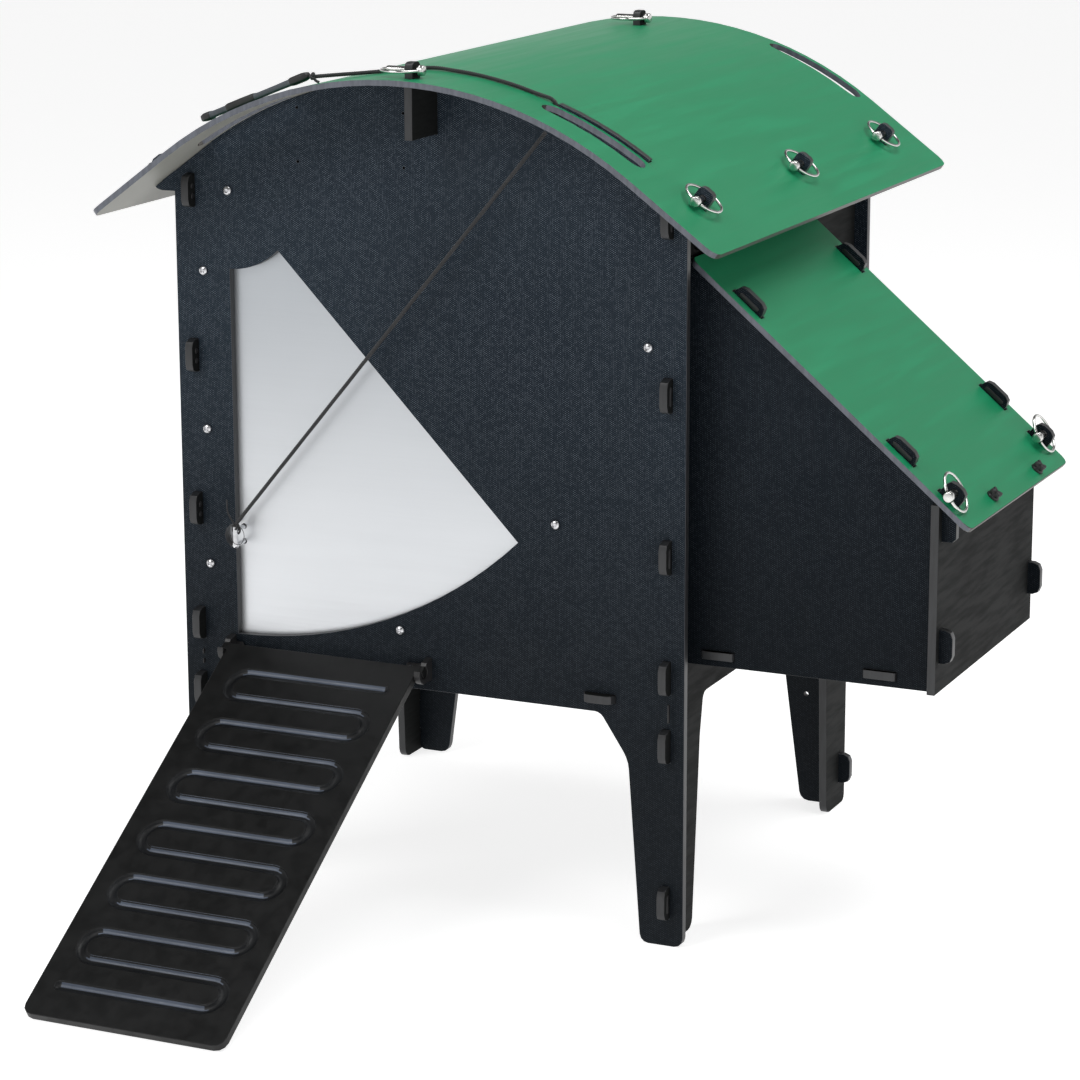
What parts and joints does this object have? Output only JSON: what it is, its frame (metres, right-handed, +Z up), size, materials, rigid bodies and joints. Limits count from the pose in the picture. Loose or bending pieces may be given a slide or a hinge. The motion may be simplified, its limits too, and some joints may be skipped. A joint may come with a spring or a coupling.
{
  "type": "chicken coop",
  "caption": "Raised flat-pack chicken coop of black sheet panels with a green curved roof, swinging pop door, fold-up ramp and a side nest box under a hinged lid.",
  "frame": {"origin": "middle of the whole object's footprint, on the ground the feet stand on", "axes": "+Z up, +Y from the ramp side to the back, +X towards the nest box"},
  "size_m": [0.9604, 1.1154, 0.9372],
  "materials": {
    "black_sheet": "black recycled plastic sheet, fine embossed texture",
    "green_sheet": "green plastic sheet, satin with faint streaks",
    "door_sheet": "plain satin aluminium",
    "chrome_hardware": "polished",
    "zinc_hardware": "bright zinc plate",
    "stainless_hardware": "stainless button heads",
    "cord": "black braided cord",
    "perch_wood": "planed softwood",
    "handle_plastic": "moulded black plastic",
    "ramp_plastic": "black sheet with raised cross bars",
    "black_fittings": "black plastic fittings"
  },
  "bodies": {
    "house": {"back_wall": "black_sheet", "centre_rib": "black_sheet", "cord_handle": "handle_plastic", "cord_lower": "cord", "cord_upper": "cord", "door_arc_retainer": "black_sheet", "door_arc_spacer": "black_sheet", "door_edge_guide": "black_sheet", "door_pivot_bolt": "stainless_hardware", "eave_left_back_pin": "zinc_hardware", "eave_left_front_pin": "zinc_hardware", "eave_left_middle_pin": "zinc_hardware", "eave_right_back_pin": "zinc_hardware", "eave_right_front_pin": "zinc_hardware", "eave_right_middle_pin": "zinc_hardware", "floor_panel": "black_sheet", "front_wall": "black_sheet", "guide_screw_1": "stainless_hardware", "guide_screw_2": "stainless_hardware", "guide_screw_3": "stainless_hardware", "guide_screw_4": "stainless_hardware", "guide_screw_5": "stainless_hardware", "guide_screw_6": "stainless_hardware", "left_wall": "black_sheet", "lid_back_pin": "zinc_hardware", "lid_front_pin": "zinc_hardware", "lid_hook_back": "black_fittings", "lid_hook_front": "black_fittings", "nest_end": "black_sheet", "nest_floor": "black_sheet", "nest_side_back": "black_sheet", "nest_side_front": "black_sheet", "perch_back": "perch_wood", "perch_front": "perch_wood", "ramp_bracket_left": "black_fittings", "ramp_bracket_right": "black_fittings", "ramp_screw_left": "stainless_hardware", "ramp_screw_right": "stainless_hardware", "rear_leg_frame": "black_sheet", "ridge_back_pin": "zinc_hardware", "ridge_beam": "black_sheet", "ridge_front_pin": "zinc_hardware", "right_wall": "black_sheet", "roof_sheet": "green_sheet"},
    "door": {"pop_door": "door_sheet", "door_shackle": "chrome_hardware", "shackle_pin": "chrome_hardware"},
    "ramp": {"ramp": "ramp_plastic"},
    "lid": {"nest_lid": "green_sheet"},
    "ring_ridge_front": {"ridge_front_ring": "zinc_hardware"},
    "ring_ridge_back": {"ridge_back_ring": "zinc_hardware"},
    "ring_eave_left_front": {"eave_left_front_ring": "zinc_hardware"},
    "ring_eave_left_middle": {"eave_left_middle_ring": "zinc_hardware"},
    "ring_eave_left_back": {"eave_left_back_ring": "zinc_hardware"},
    "ring_eave_right_front": {"eave_right_front_ring": "zinc_hardware"},
    "ring_eave_right_middle": {"eave_right_middle_ring": "zinc_hardware"},
    "ring_eave_right_back": {"eave_right_back_ring": "zinc_hardware"},
    "ring_lid_front": {"lid_front_ring": "zinc_hardware"},
    "ring_lid_back": {"lid_back_ring": "zinc_hardware"}
  },
  "joints": [
    {"name": "door_swing", "type": "hinge", "parent": "house", "child": "door", "pos_m": [-0.352, -0.08473, 0.7837], "axis": [0, -1, 0], "range_deg": [0, 40], "deforming": ["cord_lower"]},
    {"name": "ramp_hinge", "type": "hinge", "parent": "house", "child": "ramp", "pos_m": [-0.2371, -0.11433, 0.2765], "axis": [-1, 0, 0], "range_deg": [0, 105]},
    {"name": "lid_hinge", "type": "hinge", "parent": "house", "child": "lid", "pos_m": [0.1741, 0.18567, 0.73999], "axis": [0, -1, 0], "range_deg": [0, 45]},
    {"name": "ridge_front_ring_flip", "type": "hinge", "parent": "house", "child": "ring_ridge_front", "pos_m": [-0.0957, -0.14233, 0.9283], "axis": [0, 1, 0], "range_deg": [0, 110]},
    {"name": "ridge_back_ring_flip", "type": "hinge", "parent": "house", "child": "ring_ridge_back", "pos_m": [-0.0957, 0.45617, 0.9283], "axis": [0, 1, 0], "range_deg": [0, 110]},
    {"name": "eave_left_front_ring_flip", "type": "hinge", "parent": "house", "child": "ring_eave_left_front", "pos_m": [-0.43384, -0.11233, 0.80644], "axis": [0.8039, 0, 0.5948], "range_deg": [0, 110]},
    {"name": "eave_left_middle_ring_flip", "type": "hinge", "parent": "house", "child": "ring_eave_left_middle", "pos_m": [-0.43384, 0.17117, 0.80644], "axis": [0.8039, 0, 0.5948], "range_deg": [0, 110]},
    {"name": "eave_left_back_ring_flip", "type": "hinge", "parent": "house", "child": "ring_eave_left_back", "pos_m": [-0.43384, 0.44067, 0.80644], "axis": [0.8039, 0, 0.5948], "range_deg": [0, 110]},
    {"name": "eave_right_front_ring_flip", "type": "hinge", "parent": "house", "child": "ring_eave_right_front", "pos_m": [0.19744, -0.11233, 0.80644], "axis": [0.8039, 0, -0.5948], "range_deg": [0, 110]},
    {"name": "eave_right_middle_ring_flip", "type": "hinge", "parent": "house", "child": "ring_eave_right_middle", "pos_m": [0.19744, 0.17117, 0.80644], "axis": [0.8039, 0, -0.5948], "range_deg": [0, 110]},
    {"name": "eave_right_back_ring_flip", "type": "hinge", "parent": "house", "child": "ring_eave_right_back", "pos_m": [0.19744, 0.44067, 0.80644], "axis": [0.8039, 0, -0.5948], "range_deg": [0, 110]},
    {"name": "lid_front_ring_flip", "type": "hinge", "parent": "house", "child": "ring_lid_front", "pos_m": [0.45711, -0.06743, 0.51564], "axis": [0.4684, 0, -0.8835], "range_deg": [0, 110]},
    {"name": "lid_back_ring_flip", "type": "hinge", "parent": "house", "child": "ring_lid_back", "pos_m": [0.45711, 0.24217, 0.51564], "axis": [0.4684, 0, -0.8835], "range_deg": [0, 110]}
  ]
}
